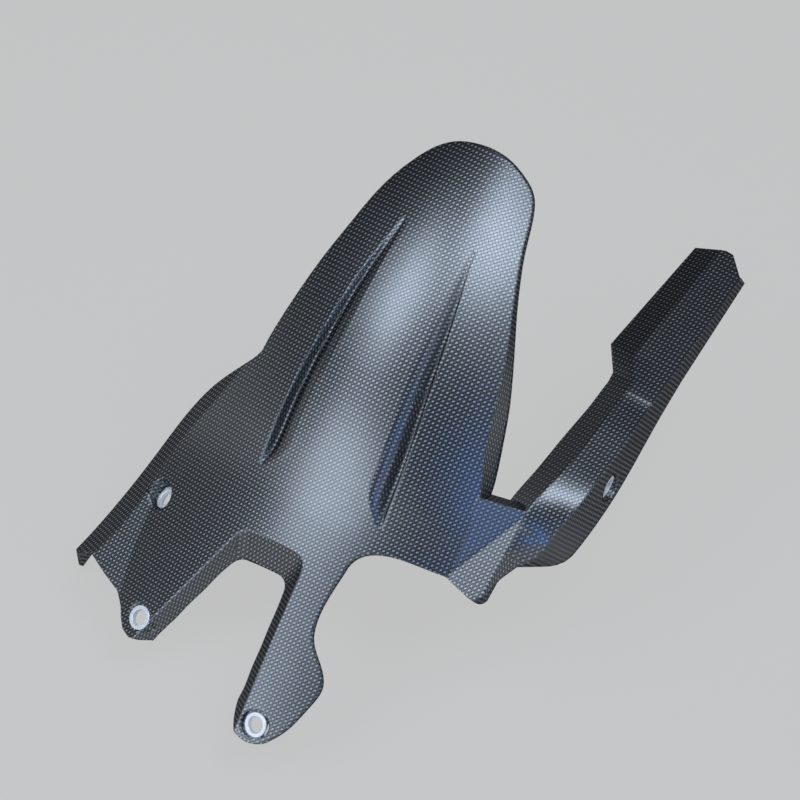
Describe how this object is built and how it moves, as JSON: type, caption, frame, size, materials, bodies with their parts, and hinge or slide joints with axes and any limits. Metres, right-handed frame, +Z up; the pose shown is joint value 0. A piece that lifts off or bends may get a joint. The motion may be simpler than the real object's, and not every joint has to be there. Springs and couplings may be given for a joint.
{
  "type": "motorcycle rear fender",
  "caption": "Motorcycle rear hugger fender with chain guard in matte woven carbon: a grooved tongue over the tyre, a deck with ear and arm, and flanged metal eyelets.",
  "frame": {"origin": "halfway along the bore of the chain guard's eyelet, on its axis", "axes": "+X forward on the motorcycle, +Y to the vehicle's left along the chain guard bore's axis and out of its mouth, +Z up"},
  "size_m": [0.491, 0.3557, 0.3523],
  "materials": {
    "carbon_weave": "plain-weave carbon laminate under matte clear lacquer",
    "eyelet_aluminium": "turned, bright"
  },
  "bodies": {
    "root": {"fender_shell": "carbon_weave", "eyelet_ear": "eyelet_aluminium", "eyelet_side": "eyelet_aluminium", "eyelet_arm": "eyelet_aluminium", "eyelet_guard": "eyelet_aluminium"}
  },
  "joints": []
}
